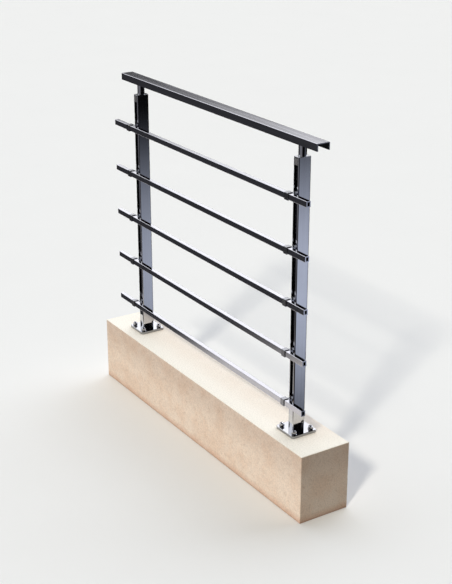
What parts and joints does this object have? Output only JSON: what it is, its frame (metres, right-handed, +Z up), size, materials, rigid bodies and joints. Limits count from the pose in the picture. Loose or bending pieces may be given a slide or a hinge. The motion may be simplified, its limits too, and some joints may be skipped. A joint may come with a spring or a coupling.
{
  "type": "aluminium railing panel on a stone plinth",
  "caption": "Railing panel of slotted aluminium posts with tube bars and a channel handrail, bolted by base plates to a long stone plinth.",
  "frame": {"origin": "centre of the plinth's underside, where it rests on the floor", "axes": "+X along the railing, -Y to the front where the bars are, +Z up"},
  "size_m": [1.42, 0.204, 1.323],
  "materials": {
    "stone": "pale beige limestone, honed",
    "polished_aluminium": "mirror polished",
    "satin_aluminium": "finely brushed along its length",
    "cast_aluminium": "cast and tumbled",
    "bolt_steel": "bright turned steel"
  },
  "bodies": {
    "root": {"stone_plinth": "stone", "handrail": "satin_aluminium", "bar_1": "satin_aluminium", "bar_2": "satin_aluminium", "bar_3": "satin_aluminium", "bar_4": "satin_aluminium", "bar_5": "satin_aluminium", "left_base_plate": "polished_aluminium", "left_post": "polished_aluminium", "left_post_spigot": "polished_aluminium", "left_post_cap": "cast_aluminium", "left_rail_stem": "polished_aluminium", "left_rail_saddle": "cast_aluminium", "left_anchor_bolt_1": "bolt_steel", "left_anchor_bolt_2": "bolt_steel", "left_anchor_bolt_3": "bolt_steel", "left_anchor_bolt_4": "bolt_steel", "left_bar_holder_1": "cast_aluminium", "left_bar_holder_2": "cast_aluminium", "left_bar_holder_3": "cast_aluminium", "left_bar_holder_4": "cast_aluminium", "left_bar_holder_5": "cast_aluminium", "right_base_plate": "polished_aluminium", "right_post": "polished_aluminium", "right_post_spigot": "polished_aluminium", "right_post_cap": "cast_aluminium", "right_rail_stem": "polished_aluminium", "right_rail_saddle": "cast_aluminium", "right_anchor_bolt_1": "bolt_steel", "right_anchor_bolt_2": "bolt_steel", "right_anchor_bolt_3": "bolt_steel", "right_anchor_bolt_4": "bolt_steel", "right_bar_holder_1": "cast_aluminium", "right_bar_holder_2": "cast_aluminium", "right_bar_holder_3": "cast_aluminium", "right_bar_holder_4": "cast_aluminium", "right_bar_holder_5": "cast_aluminium"}
  },
  "joints": []
}
